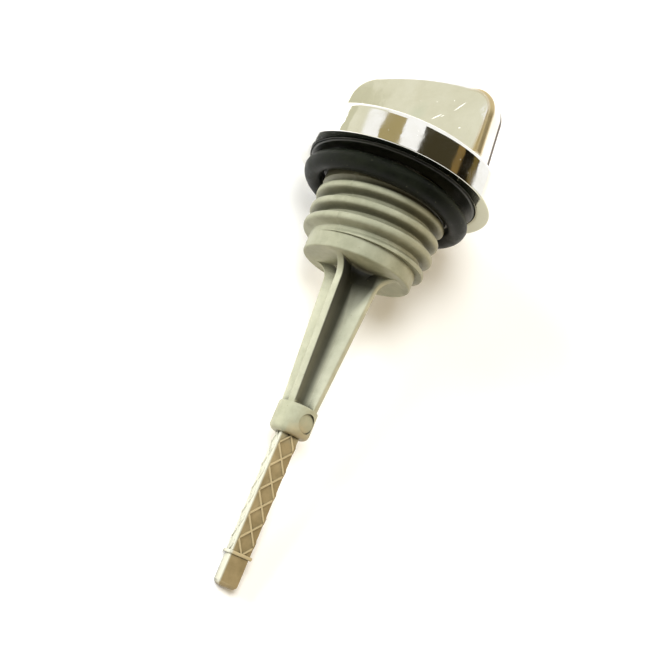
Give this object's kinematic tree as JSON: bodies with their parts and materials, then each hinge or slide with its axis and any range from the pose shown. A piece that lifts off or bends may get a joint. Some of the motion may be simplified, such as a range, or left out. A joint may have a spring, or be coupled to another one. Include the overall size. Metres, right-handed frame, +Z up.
{
  "type": "engine oil filler cap with dipstick",
  "caption": "Screw-in engine oil filler cap with a plated wing-grip cover, rubber sealing ring, threaded plug and ribbed dipstick with a hatched square blade.",
  "frame": {"origin": "middle of the part's box on the floor that it lies on", "axes": "+Z up, +X along the dipstick towards its tip, level with the floor; the part rests on the cover's rim and on the end of the blade, with its screw axis 12.4 degrees nose-down"},
  "size_m": [0.0799, 0.0304, 0.0304],
  "materials": {
    "plated_cover": "polished",
    "black_moulding": "satin",
    "ring_rubber": "satin",
    "grey_moulding": "satin"
  },
  "bodies": {
    "root": {"chrome_cover": "plated_cover", "base_plate": "black_moulding", "sealing_ring": "ring_rubber", "dipstick_body": "grey_moulding"}
  },
  "joints": []
}
